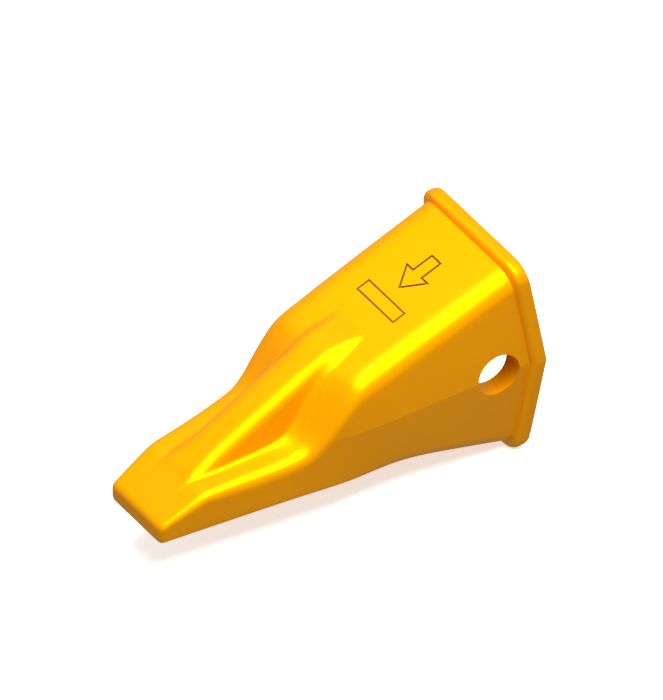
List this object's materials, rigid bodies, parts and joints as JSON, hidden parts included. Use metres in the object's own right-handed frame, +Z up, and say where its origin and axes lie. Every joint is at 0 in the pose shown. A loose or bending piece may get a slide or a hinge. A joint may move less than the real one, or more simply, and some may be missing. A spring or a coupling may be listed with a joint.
{
  "type": "excavator bucket tooth",
  "caption": "Cast steel digging tooth with a blunt chisel tip, a central rib between side scoops, a raised rear collar, a hollow nose socket and a cross pin hole.",
  "frame": {"origin": "centre of the cross pin hole, midway between the two ears, on the parting line of the casting", "axes": "+X forward from the pin hole to the tip, +Y along the pin hole to the left side when looking forward, +Z up to the side that carries the rib"},
  "size_m": [0.3065, 0.1326, 0.1713],
  "materials": {
    "painted_steel": "glossy golden yellow enamel over cast steel"
  },
  "bodies": {
    "root": {"tooth_casting": "painted_steel"}
  },
  "joints": []
}
